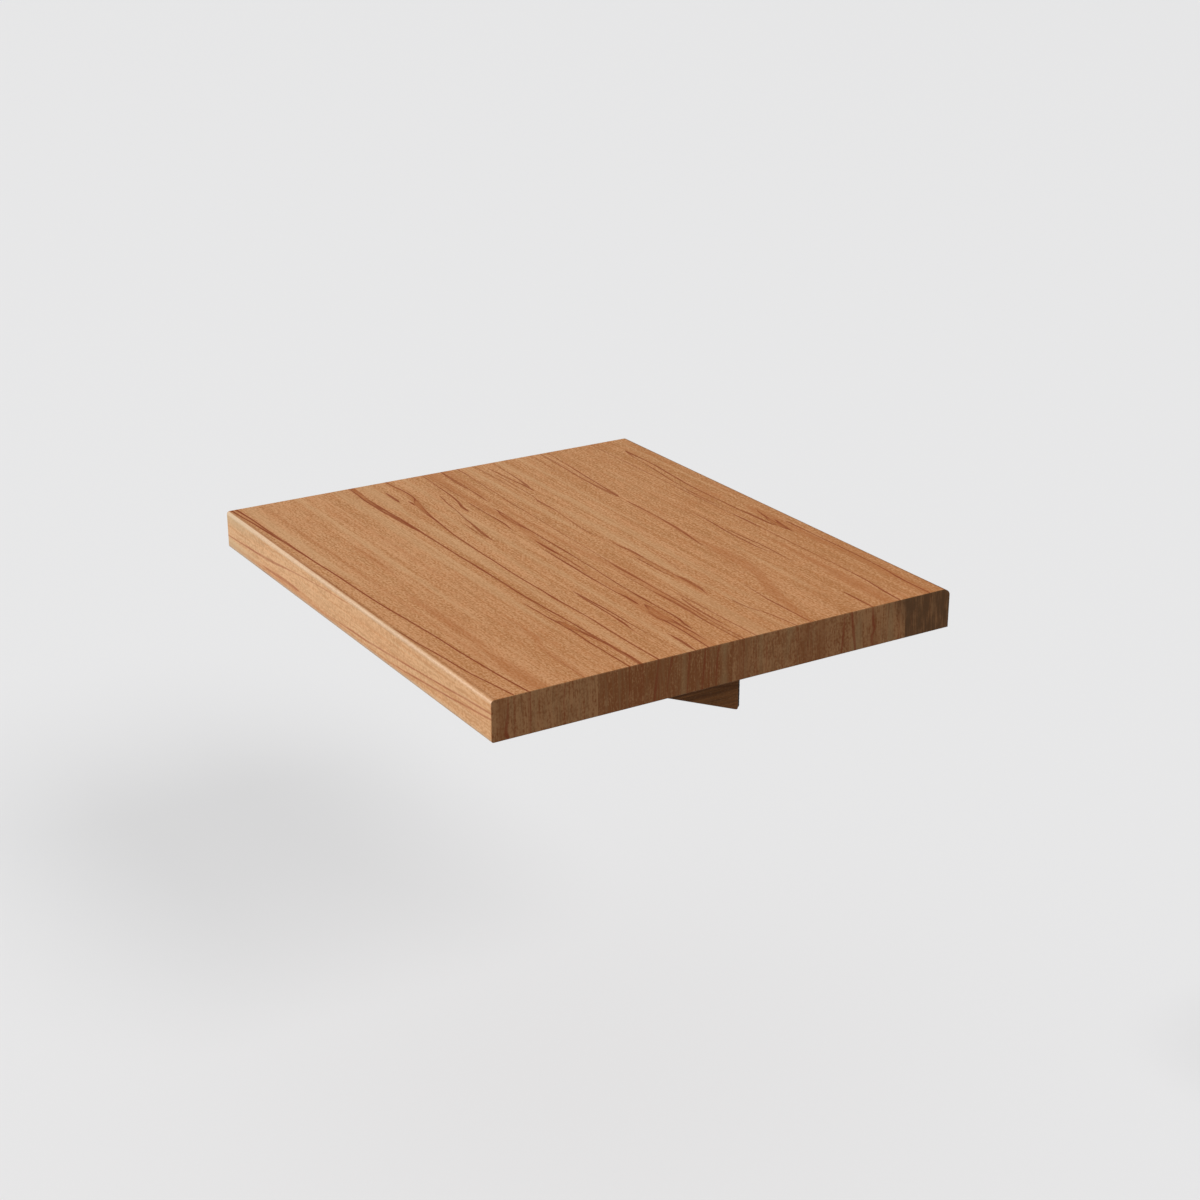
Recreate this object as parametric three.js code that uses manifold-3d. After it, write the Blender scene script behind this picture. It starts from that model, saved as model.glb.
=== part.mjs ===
// A bedside shelf that hooks over the side rail of a bed.
// A board of five edge-glued staves rests on the rail. Two bent steel plates, let into its underside,
// reach down behind the rail, and one triangular arm props the board from below against the rail's face.
// Units are millimetres. X runs along the rail, Y points across it towards the bed, Z is up.
// The origin is the middle of the seat where the board's underside rests on the rail.
import * as THREE from "three";
import { mergeVertices } from "three/addons/utils/BufferGeometryUtils.js";
import Module from "manifold-3d";

const wasm = await Module();
wasm.setup();

// Bed rail that the shelf fits
const RAIL_THICK = 25;
const RAIL_PLAY = 0.5;

// Board
const BOARD_LENGTH = 400;
const BOARD_DEPTH = 350;
const BOARD_THICK = 28;
const BOARD_PAST_RAIL = 10.5;
const OUTER_TOP_ROUND = 3;
const OUTER_FOOT_ROUND = 2;
const INNER_TOP_ROUND = 6;
const INNER_FOOT_ROUND = 1;
const END_EASE = 0.8;
const STAVE_2_WIDTH = 99.5;
const STAVE_3_WIDTH = 93;
const STAVE_4_WIDTH = 46;

// Arm under the board
const ARM_THICK = 28;
const ARM_LENGTH = 277;
const ARM_FOOT_DROP = 124;
const ARM_TIP_DROP = 18;
const ARM_FOOT_ROUND = 1.5;
const ARM_TIP_ROUND = 8;
const ARM_EASE = 1;

// Dowels and screws that join the arm to the board
const FIRST_FIXING = 30;
const LAST_FIXING = 50;
const FIXINGS = ["dowel", "screw", "dowel", "screw", "dowel"];
const SKIN_ABOVE_HOLES = 8;
const DOWEL_DIAMETER = 8;
const DOWEL_LENGTH = 40;
const DOWEL_CHAMFER = 1;
const DOWEL_END_ROOM = 1;
const ARM_SCREW_DIAMETER = 5;
const ARM_SCREW_HEAD = 9.6;
const ARM_SCREW_LENGTH = 50;

// Hook plates
const HOOK_THICK = 3;
const HOOK_WIDTH = 40;
const HOOK_FLANGE = 60;
const HOOK_LEG = 42;
const HOOK_BEND = 2;
const HOOK_CORNER = 6;
const HOOK_SPACING = 220;
const HOOK_SINK = 0.2;
const HOOK_SCREW_DIAMETER = 4;
const HOOK_SCREW_HEAD = 8;
const HOOK_SCREW_LENGTH = 18;
const HOOK_SCREW_SIDE = 9;
const HOOK_SCREW_EDGE = 10;
const HOOK_SCREW_ROWS = 27;

// Felt pads
const FOOT_PAD_THICK = 2;
const FOOT_PAD_MARGIN = 1.5;
const FOOT_PAD_TOP = 2.2;
const FOOT_PAD_END = 1;
const HOOK_PAD_THICK = 2;
const HOOK_PAD_MARGIN = 3;
const PAD_CORNER = 2;

// Clearances round let-in and driven pieces
const FIT_GAP = 0.3;
const HEAD_LAND = 0.4;
const COUNTERBORE_ROOM = 0.8;

// Facets
const ROUND_SIDES = 24;
const ARC_STEPS = 4;

// Places worked out from the sizes above
const railFace = RAIL_THICK / 2;
const armInner = -railFace - FOOT_PAD_THICK;
const armOuter = armInner - ARM_LENGTH;
const boardInner = railFace + BOARD_PAST_RAIL;
const boardOuter = boardInner - BOARD_DEPTH;
const halfLength = BOARD_LENGTH / 2;
const holeTop = BOARD_THICK - SKIN_ABOVE_HOLES;
const dowelTop = holeTop - DOWEL_END_ROOM;
const hookFront = railFace + RAIL_PLAY + HOOK_PAD_THICK;
const hookBack = hookFront + HOOK_THICK;
const hookTip = hookBack - HOOK_FLANGE;
const hookTop = HOOK_SINK + HOOK_THICK;
const hookFoot = hookTop - HOOK_LEG;
const beyond = BOARD_LENGTH + BOARD_DEPTH;

const beech = { color: 0xc08c5e, roughness: 0.5, metalness: 0 };
const shadedBeech = { color: 0xb27f52, roughness: 0.55, metalness: 0 };
const dowelBeech = { color: 0xd8b587, roughness: 0.7, metalness: 0 };
const zincSteel = { color: 0xb9bcc0, roughness: 0.35, metalness: 1 };
const screwSteel = { color: 0xc9b26a, roughness: 0.3, metalness: 1 };
const felt = { color: 0x3a3835, roughness: 0.95, metalness: 0 };

// A closed mesh as a solid that can be joined and cut.
function solidOf(geometry) {
  const plain = geometry.clone();
  plain.deleteAttribute("normal");
  plain.deleteAttribute("uv");
  const merged = mergeVertices(plain, 1e-4);
  return new wasm.Manifold(
    new wasm.Mesh({
      numProp: 3,
      vertProperties: merged.attributes.position.array,
      triVerts: new Uint32Array(merged.index.array),
    }),
  );
}

function meshOf(name, solid, finish) {
  const { vertProperties, triVerts } = solid.getMesh();
  const indexed = new THREE.BufferGeometry();
  indexed.setAttribute("position", new THREE.BufferAttribute(vertProperties, 3));
  indexed.setIndex(new THREE.BufferAttribute(triVerts, 1));
  const geometry = indexed.toNonIndexed();
  geometry.computeVertexNormals();
  const mesh = new THREE.Mesh(geometry, new THREE.MeshStandardMaterial(finish));
  mesh.name = name;
  return mesh;
}

// An outline through the given corners, [u, v, radius], each rounded by an arc of its radius.
function roundedOutline(corners) {
  const shape = new THREE.Shape();
  corners.forEach(([u, v, radius = 0], i) => {
    const here = new THREE.Vector2(u, v);
    const [pu, pv] = corners.at(i - 1);
    const [nu, nv] = corners[(i + 1) % corners.length];
    const back = new THREE.Vector2(pu, pv).sub(here).normalize();
    const on = new THREE.Vector2(nu, nv).sub(here).normalize();
    const place = (at) => (i === 0 ? shape.moveTo(at.x, at.y) : shape.lineTo(at.x, at.y));
    if (radius === 0) {
      place(here);
      return;
    }
    const half = Math.acos(back.dot(on)) / 2;
    const start = here.clone().addScaledVector(back, radius / Math.tan(half));
    const end = here.clone().addScaledVector(on, radius / Math.tan(half));
    const middle = back.clone().add(on).normalize();
    const centre = here.clone().addScaledVector(middle, radius / Math.sin(half));
    const from = start.clone().sub(centre).angle();
    const to = end.clone().sub(centre).angle();
    place(start);
    shape.absarc(centre.x, centre.y, radius, from, to, back.cross(on) > 0);
  });
  shape.closePath();
  return shape;
}

// Local axes u, v and the direction of the extrusion, for each world axis to extrude along.
const frames = {
  X: [new THREE.Vector3(0, 1, 0), new THREE.Vector3(0, 0, 1), new THREE.Vector3(1, 0, 0)],
  Y: [new THREE.Vector3(0, 0, 1), new THREE.Vector3(1, 0, 0), new THREE.Vector3(0, 1, 0)],
  Z: [new THREE.Vector3(1, 0, 0), new THREE.Vector3(0, 1, 0), new THREE.Vector3(0, 0, 1)],
};

// A prism from low to high along a world axis. ease rounds its two end outlines by that much.
function prism(shape, axis, low, high, ease = 0) {
  const geometry = new THREE.ExtrudeGeometry(shape, {
    depth: high - low - 2 * ease,
    curveSegments: ARC_STEPS,
    bevelEnabled: ease > 0,
    bevelThickness: ease,
    bevelSize: ease,
    bevelOffset: -ease,
    bevelSegments: 2,
  });
  geometry.translate(0, 0, low + ease);
  geometry.applyMatrix4(new THREE.Matrix4().makeBasis(...frames[axis]));
  return solidOf(geometry);
}

// A box between two corners.
function block([x0, y0, z0], [x1, y1, z1]) {
  const geometry = new THREE.BoxGeometry(x1 - x0, y1 - y0, z1 - z0);
  geometry.translate((x0 + x1) / 2, (y0 + y1) / 2, (z0 + z1) / 2);
  return solidOf(geometry);
}

// A turned solid on a vertical axis through x, y. profile holds [radius, height] from bottom to top.
function turned(profile, x, y) {
  const points = profile.map(([radius, height]) => new THREE.Vector2(radius, height));
  const geometry = new THREE.LatheGeometry(points, ROUND_SIDES);
  geometry.rotateX(Math.PI / 2);
  geometry.translate(x, y, 0);
  return solidOf(geometry);
}

function rod(radius, low, high, x, y) {
  const profile = [
    [0, low],
    [radius, low],
    [radius, high],
    [0, high],
  ];
  return turned(profile, x, y);
}

// Countersunk wood screw, head down at height head, point up.
function woodScrew(diameter, headDiameter, length, x, y, head) {
  const radius = diameter / 2;
  const headRadius = headDiameter / 2;
  const coneTop = head + HEAD_LAND + headRadius - radius;
  const profile = [
    [0, head],
    [headRadius, head],
    [headRadius, head + HEAD_LAND],
    [radius, coneTop],
    [radius, head + length - 2 * diameter],
    [radius / 4, head + length],
    [0, head + length],
  ];
  return turned(profile, x, y).subtract(crossRecess(radius, headRadius, x, y, head));
}

// The four-winged driver recess in a screw's head.
function crossRecess(radius, headRadius, x, y, head) {
  const wing = headRadius * 0.55;
  const slot = radius * 0.22;
  const floor = head + headRadius * 0.45;
  const below = head - headRadius;
  const along = block([x - wing, y - slot, below], [x + wing, y + slot, floor]);
  const across = block([x - slot, y - wing, below], [x + slot, y + wing, floor]);
  return along.add(across);
}

// The hole that such a screw sits in: a bore below the head, a seat for it and a way for the shank.
function screwHole(diameter, headDiameter, length, x, y, head, boreRadius, boreFoot) {
  const radius = diameter / 2 + FIT_GAP;
  const seat = headDiameter / 2 + FIT_GAP;
  const coneFoot = head + HEAD_LAND;
  const profile = [
    [0, boreFoot],
    [boreRadius, boreFoot],
    [boreRadius, coneFoot],
    [seat, coneFoot],
    [radius, coneFoot + seat - radius],
    [radius, head + length + FIT_GAP],
    [0, head + length + FIT_GAP],
  ];
  return turned(profile, x, y);
}

// Where each dowel and screw of the arm stands along Y.
const fixingPitch = (ARM_LENGTH - FIRST_FIXING - LAST_FIXING) / (FIXINGS.length - 1);
const fixings = FIXINGS.map((kind, i) => ({ kind, y: armInner - FIRST_FIXING - i * fixingPitch }));
const dowelPlaces = fixings.filter(({ kind }) => kind === "dowel");
const armScrewPlaces = fixings.filter(({ kind }) => kind === "screw");
const armScrewHead = holeTop - FIT_GAP - ARM_SCREW_LENGTH;

// The two hooks, and where their three screws stand: a pair near the flange's tip and one behind it.
const hooks = [
  { side: "far", x: -HOOK_SPACING / 2 },
  { side: "near", x: HOOK_SPACING / 2 },
];
const screwRow = hookTip + HOOK_SCREW_EDGE;
const screwAside = HOOK_WIDTH / 2 - HOOK_SCREW_SIDE;
const hookScrews = [
  [-screwAside, screwRow],
  [screwAside, screwRow],
  [0, screwRow + HOOK_SCREW_ROWS],
];

function armDowelHole({ y }) {
  const foot = dowelTop - DOWEL_LENGTH - DOWEL_END_ROOM;
  return rod(DOWEL_DIAMETER / 2 + FIT_GAP, foot, holeTop, 0, y);
}

function armScrewHole({ y }) {
  const bore = ARM_SCREW_HEAD / 2 + COUNTERBORE_ROOM;
  const foot = -ARM_FOOT_DROP;
  return screwHole(ARM_SCREW_DIAMETER, ARM_SCREW_HEAD, ARM_SCREW_LENGTH, 0, y, armScrewHead, bore, foot);
}

function hookScrewHole(x, y) {
  const bore = HOOK_SCREW_HEAD / 2 + FIT_GAP;
  const foot = -HOOK_THICK;
  return screwHole(HOOK_SCREW_DIAMETER, HOOK_SCREW_HEAD, HOOK_SCREW_LENGTH, x, y, HOOK_SINK, bore, foot);
}

// The shallow routed recess that a hook's flange lies in, open at the board's inner edge.
function hookRecess(x) {
  const half = HOOK_WIDTH / 2 + FIT_GAP;
  const tip = hookTip - FIT_GAP;
  const corner = HOOK_CORNER + FIT_GAP;
  const outline = roundedOutline([
    [x - half, tip, corner],
    [x + half, tip, corner],
    [x + half, beyond],
    [x - half, beyond],
  ]);
  return prism(outline, "Z", -HOOK_THICK, hookTop);
}

// The whole board in one piece, with long edges rounded, ends eased and every recess and hole cut.
function boardBlank() {
  const section = roundedOutline([
    [boardOuter, 0, OUTER_FOOT_ROUND],
    [boardInner, 0, INNER_FOOT_ROUND],
    [boardInner, BOARD_THICK, INNER_TOP_ROUND],
    [boardOuter, BOARD_THICK, OUTER_TOP_ROUND],
  ]);
  const side = roundedOutline([
    [0, -halfLength, END_EASE],
    [BOARD_THICK, -halfLength, END_EASE],
    [BOARD_THICK, halfLength, END_EASE],
    [0, halfLength, END_EASE],
  ]);
  const plan = roundedOutline([
    [-halfLength, boardOuter, END_EASE],
    [halfLength, boardOuter, END_EASE],
    [halfLength, boardInner, END_EASE],
    [-halfLength, boardInner, END_EASE],
  ]);
  let board = prism(section, "X", -halfLength, halfLength)
    .intersect(prism(side, "Y", boardOuter, boardInner))
    .intersect(prism(plan, "Z", 0, BOARD_THICK));
  for (const place of dowelPlaces) board = board.subtract(armDowelHole(place));
  for (const place of armScrewPlaces) board = board.subtract(armScrewHole(place));
  for (const { x } of hooks) {
    board = board.subtract(hookRecess(x));
    for (const [dx, y] of hookScrews) board = board.subtract(hookScrewHole(x + dx, y));
  }
  return board;
}

// The board ripped along its glue lines. The last glue line stands over the arm's inner end.
function staves() {
  const seatLine = armInner;
  const line3 = seatLine - STAVE_4_WIDTH;
  const line2 = line3 - STAVE_3_WIDTH;
  const line1 = line2 - STAVE_2_WIDTH;
  const lines = [boardOuter - beyond, line1, line2, line3, seatLine, boardInner + beyond];
  const board = boardBlank();
  return lines.slice(1).map((line, i) => {
    const strip = block([-beyond, lines[i], -beyond], [beyond, line, beyond]);
    return meshOf(`board_stave_${i + 1}`, board.intersect(strip), beech);
  });
}

// The arm: a board on edge with a raking underside, tall at the rail and shallow at its tip.
function bracketArm() {
  const outline = roundedOutline([
    [armOuter, -ARM_TIP_DROP, ARM_TIP_ROUND],
    [armInner, -ARM_FOOT_DROP, ARM_FOOT_ROUND],
    [armInner, BOARD_THICK],
    [armOuter, BOARD_THICK],
  ]);
  const half = ARM_THICK / 2;
  const under = block([-beyond, -beyond, -beyond], [beyond, beyond, 0]);
  let arm = prism(outline, "X", -half, half, ARM_EASE).intersect(under);
  for (const place of dowelPlaces) arm = arm.subtract(armDowelHole(place));
  for (const place of armScrewPlaces) arm = arm.subtract(armScrewHole(place));
  return meshOf("bracket_arm", arm, shadedBeech);
}

function armDowel({ y }, i) {
  const radius = DOWEL_DIAMETER / 2;
  const foot = dowelTop - DOWEL_LENGTH;
  const profile = [
    [0, foot],
    [radius - DOWEL_CHAMFER, foot],
    [radius, foot + DOWEL_CHAMFER],
    [radius, dowelTop - DOWEL_CHAMFER],
    [radius - DOWEL_CHAMFER, dowelTop],
    [0, dowelTop],
  ];
  return meshOf(`arm_dowel_${i + 1}`, turned(profile, 0, y), dowelBeech);
}

function armScrew({ y }, i) {
  const screw = woodScrew(ARM_SCREW_DIAMETER, ARM_SCREW_HEAD, ARM_SCREW_LENGTH, 0, y, armScrewHead);
  return meshOf(`arm_screw_${i + 1}`, screw, screwSteel);
}

// A strip of steel bent square: its flange lies in the board, its leg drops behind the rail.
function hookPlate({ side, x }) {
  const half = HOOK_WIDTH / 2;
  const section = roundedOutline([
    [hookTip, HOOK_SINK],
    [hookFront, HOOK_SINK, HOOK_BEND],
    [hookFront, hookFoot],
    [hookBack, hookFoot],
    [hookBack, hookTop, HOOK_BEND + HOOK_THICK],
    [hookTip, hookTop],
  ]);
  const plan = roundedOutline([
    [x - half, hookTip, HOOK_CORNER],
    [x + half, hookTip, HOOK_CORNER],
    [x + half, hookBack],
    [x - half, hookBack],
  ]);
  const face = roundedOutline([
    [hookFoot, x - half, HOOK_CORNER],
    [hookTop, x - half],
    [hookTop, x + half],
    [hookFoot, x + half, HOOK_CORNER],
  ]);
  let plate = prism(section, "X", x - half, x + half)
    .intersect(prism(plan, "Z", hookFoot, hookTop))
    .intersect(prism(face, "Y", hookTip, hookBack));
  for (const [dx, y] of hookScrews) plate = plate.subtract(hookScrewHole(x + dx, y));
  return meshOf(`hook_plate_${side}`, plate, zincSteel);
}

function hookScrew({ side, x }, [dx, y], i) {
  const screw = woodScrew(HOOK_SCREW_DIAMETER, HOOK_SCREW_HEAD, HOOK_SCREW_LENGTH, x + dx, y, HOOK_SINK);
  return meshOf(`hook_screw_${side}_${i + 1}`, screw, screwSteel);
}

// A felt pad on a face that looks along Y.
function pad(name, x, halfWidth, low, high, from, to) {
  const outline = roundedOutline([
    [low, x - halfWidth, PAD_CORNER],
    [high, x - halfWidth, PAD_CORNER],
    [high, x + halfWidth, PAD_CORNER],
    [low, x + halfWidth, PAD_CORNER],
  ]);
  return meshOf(name, prism(outline, "Y", from, to), felt);
}

function footPad() {
  const halfWidth = ARM_THICK / 2 - FOOT_PAD_MARGIN;
  const low = -ARM_FOOT_DROP + FOOT_PAD_END;
  return pad("arm_foot_pad", 0, halfWidth, low, -FOOT_PAD_TOP, armInner, -railFace);
}

function hookPad({ side, x }) {
  const halfWidth = HOOK_WIDTH / 2 - HOOK_PAD_MARGIN;
  const low = hookFoot + HOOK_PAD_MARGIN;
  const high = HOOK_SINK - HOOK_BEND - HOOK_PAD_MARGIN;
  return pad(`hook_pad_${side}`, x, halfWidth, low, high, hookFront - HOOK_PAD_THICK, hookFront);
}

const shelf = new THREE.Group();
shelf.name = "bedside_shelf";

const board = new THREE.Group();
board.add(...staves());

const arm = new THREE.Group();
arm.add(bracketArm(), footPad());
arm.add(...dowelPlaces.map(armDowel));
arm.add(...armScrewPlaces.map(armScrew));

shelf.add(board, arm);
for (const hook of hooks) {
  const fitting = new THREE.Group();
  fitting.add(hookPlate(hook), hookPad(hook));
  fitting.add(...hookScrews.map((place, i) => hookScrew(hook, place, i)));
  shelf.add(fitting);
}

export default shelf;
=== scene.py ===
import math
from functools import reduce
from operator import add, or_

import bpy
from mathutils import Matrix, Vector


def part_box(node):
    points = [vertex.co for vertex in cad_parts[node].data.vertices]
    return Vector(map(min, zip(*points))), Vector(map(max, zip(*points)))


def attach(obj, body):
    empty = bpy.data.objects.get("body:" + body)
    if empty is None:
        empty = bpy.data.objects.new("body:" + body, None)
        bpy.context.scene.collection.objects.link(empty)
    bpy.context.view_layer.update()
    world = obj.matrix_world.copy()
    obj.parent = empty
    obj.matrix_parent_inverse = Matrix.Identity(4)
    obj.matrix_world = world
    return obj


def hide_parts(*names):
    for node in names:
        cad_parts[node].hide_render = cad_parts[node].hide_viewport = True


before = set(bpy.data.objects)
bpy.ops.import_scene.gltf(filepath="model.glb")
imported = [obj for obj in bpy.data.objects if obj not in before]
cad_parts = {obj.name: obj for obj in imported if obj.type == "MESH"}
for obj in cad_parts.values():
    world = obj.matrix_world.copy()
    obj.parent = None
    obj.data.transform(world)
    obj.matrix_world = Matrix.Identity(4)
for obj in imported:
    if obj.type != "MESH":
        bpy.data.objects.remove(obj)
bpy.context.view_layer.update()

# A bedside shelf that hooks over the side rail of a bed: an oiled board of edge-glued heartwood beech,
# one triangular arm below it, and two bent steel plates behind the rail. The camera and the floor are
# given in metres, and the shelf's own sizes in mm.
MM = 0.001

# Camera and setting
CAMERA_PLACE = Vector((1.2203, -0.8813, 0.5467))
CAMERA_AIM = Vector((0.0373, -0.1512, 0.001))
CAMERA_LENS = 64.8
FLOOR_DROP = 0.4
FLOOR_SIZE = 60.0
KEY_WAY = Vector((0.80, 1.15, -0.62))
KEY_POWER = 4.35
KEY_SPREAD = math.radians(14)
FILL_WAY = Vector((-1.0, -0.15, -0.80))
FILL_POWER = 0.75
FILL_SPREAD = math.radians(20)
SKY_LEVEL = 0.3
SKY_SHEEN = 0.18
SKY_SEEN = 0.85

# The board's outer face along y, its end along x and half its thickness
stave_low, stave_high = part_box("board_stave_1")
OUTER_FACE = stave_low.y / MM
BOARD_END = stave_high.x / MM
HALF_THICK = stave_high.z / MM / 2

# Dowels, screws, plates and pads. A screw's plain is how far up its thread begins.
DOWEL_SIDES = 60
DOWEL_FLUTES = 15
LONG_SCREW = {"diameter": 5.0, "head": 9.6, "length": 50.0, "plain": 21.0, "pitch": 2.6}
PLATE_SCREW = {"diameter": 4.0, "head": 8.0, "length": 18.0, "plain": 6.0, "pitch": 1.8}
SCREW_LAND = 0.4
PLATE_THICK = 3.0
PLATE_BEND = 2.0
PLATE_CORNER = 6.0
PLATE_EASE = 0.3
HOLE_ROOM = 0.3
PAD_CORNER = 2.0
PAD_RIM = 0.45
PAD_GRID = 0.42
NAP_SIZE = 1.1
NAP_DEPTH = 0.22


def set_camera():
    data = bpy.data.cameras.new("camera")
    data.lens = CAMERA_LENS
    camera = bpy.data.objects.new("camera", data)
    bpy.context.scene.collection.objects.link(camera)
    camera.location = CAMERA_PLACE
    camera.rotation_euler = (CAMERA_AIM - CAMERA_PLACE).to_track_quat("-Z", "Y").to_euler()
    bpy.context.scene.camera = camera


set_camera()


class Value:
    """A socket in a node tree. Arithmetic on it adds the Math nodes that work it out."""

    def __init__(self, nodes, socket):
        self.nodes = nodes
        self.socket = socket

    def other(self, name):
        """Another output of the same node."""
        return Value(self.nodes, self.socket.node.outputs[name])

    def maths(self, operation, first, second=0.0):
        return self.nodes.add("Math", {"operation": operation}, {0: first, 1: second})

    def __add__(self, number):
        return self.maths("ADD", self, number)

    __radd__ = __add__

    def __sub__(self, number):
        return self.maths("SUBTRACT", self, number)

    def __rsub__(self, number):
        return self.maths("SUBTRACT", number, self)

    def __mul__(self, number):
        return self.maths("MULTIPLY", self, number)

    __rmul__ = __mul__

    def __truediv__(self, number):
        return self.maths("DIVIDE", self, number)

    def __abs__(self):
        return self.maths("ABSOLUTE", self)

    def __or__(self, number):
        """The larger of the two."""
        return self.maths("MAXIMUM", self, number)

    def clamped(self):
        return self.nodes.add("Clamp", sockets={"Value": self})

    def ramp(self, low, high):
        """0 at low and below, 1 at high and above, smooth between."""
        settings = {"interpolation_type": "SMOOTHSTEP"}
        return self.nodes.add("MapRange", settings, {"Value": self, "From Min": low, "From Max": high})


class Nodes:
    """A node tree, and the one way in which it gets its nodes."""

    def __init__(self, tree):
        self.tree = tree

    def add(self, kind, settings=None, sockets=None, output=0):
        node = self.tree.nodes.new("ShaderNode" + kind)
        for key, value in (settings or {}).items():
            if key == "curve":
                set_curve(node.mapping, value)
            else:
                setattr(node, key, value)
        for key, value in (sockets or {}).items():
            if isinstance(value, Value):
                self.link(value, node.inputs[key])
            else:
                node.inputs[key].default_value = value
        return Value(self, node.outputs[output])

    def link(self, value, socket):
        self.tree.links.new(value.socket, socket)


class Finish(Nodes):
    """A material, and the patterns that vary its surface."""

    def __init__(self, name, **surface):
        self.material = bpy.data.materials.new(name)
        self.material.use_nodes = True
        super().__init__(self.material.node_tree)
        self.shader = self.tree.nodes["Principled BSDF"]
        for socket, value in surface.items():
            self.shader.inputs[socket.replace("_", " ")].default_value = value

    def place(self):
        """The point's place on the object, as three values in mm."""
        point = self.add("TexCoord", output="Object")
        parts = self.add("SeparateXYZ", sockets={"Vector": point})
        return [parts.other(axis) / MM for axis in "XYZ"]

    def noise(self, place, sizes, seed=0.0, detail=2.0, roughness=0.5):
        """Noise whose blobs have the given sizes in mm along the three values of place."""
        x, y, z = (value * (1 / size) for value, size in zip(place, sizes))
        point = self.add("CombineXYZ", sockets={"X": x + seed, "Y": y + 0.37 * seed, "Z": z})
        sockets = {"Vector": point, "Scale": 1.0, "Detail": detail, "Roughness": roughness}
        return self.add("TexNoise", sockets=sockets)

    def mix(self, first, second, share):
        settings = {"data_type": "RGBA"}
        return self.add("Mix", settings, {0: share, 6: first, 7: second}, output=2)

    def curve(self, value, points):
        return self.add("FloatCurve", {"curve": points}, {"Value": value})

    def bump(self, height, depth):
        """Relief of that depth in metres."""
        self.drive("Normal", self.add("Bump", sockets={"Height": height, "Distance": depth}))

    def drive(self, socket, value):
        self.link(value, self.shader.inputs[socket])


def set_curve(mapping, points):
    """Puts a float curve through the given points, level beyond its ends."""
    mapping.use_clip = False
    mapping.extend = "HORIZONTAL"
    spots = mapping.curves[0].points
    while len(spots) < len(points):
        spots.new(0.5, 0.5)
    for spot, point in zip(spots, points):
        spot.location = point
        spot.handle_type = "AUTO_CLAMPED"
    mapping.update()


def rgba(red, green, blue):
    return (red, green, blue, 1.0)


# Tones of the oiled beech, linear
PALE = rgba(0.640, 0.336, 0.158)
TAN = rgba(0.400, 0.163, 0.046)
RUDDY = rgba(0.400, 0.125, 0.028)
ROSE = rgba(0.650, 0.245, 0.088)
STRAW = rgba(0.620, 0.375, 0.185)
VEIN = rgba(0.235, 0.040, 0.002)
# Pale tone of the outer edge, partly the wood and partly painted sheen
EDGE_PALE_AND_SHEEN = rgba(0.480, 0.332, 0.180)
# Edge wear lightened further as a painted highlight, then a painted highlight on the arris and painted shade
# behind it
WORN_AND_HIGHLIGHT = rgba(0.420, 0.310, 0.200)
ARRIS_HIGHLIGHT = rgba(0.800, 0.600, 0.420)
ARRIS_SHADE = rgba(0.230, 0.090, 0.030)
END_PALE = rgba(0.410, 0.198, 0.079)
END_DARK = rgba(0.250, 0.080, 0.016)
END_STRAW = rgba(0.350, 0.206, 0.088)
# Painted shade on the ends of the staves at the bed's side
END_PAINTED_SHADE = rgba(0.120, 0.050, 0.012)
# Painted shade over the arm, which is also the tone of its growth lines
ARM_GRAIN_AND_SHADE = rgba(0.128, 0.040, 0.004)

# Tones of the metals, the felt and the floor, linear
ZINC_GREY = rgba(0.50, 0.51, 0.52)
ZINC_BRIGHT = rgba(0.66, 0.66, 0.65)
SCREW_STRAW = rgba(0.70, 0.56, 0.26)
SCREW_ROSE = rgba(0.62, 0.46, 0.33)
FELT_DARK = rgba(0.028, 0.025, 0.023)
FELT_PALE = rgba(0.085, 0.076, 0.068)
FLOOR_SHADE = rgba(0.15, 0.15, 0.15)
FLOOR_PALE = rgba(0.80, 0.80, 0.805)

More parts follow.
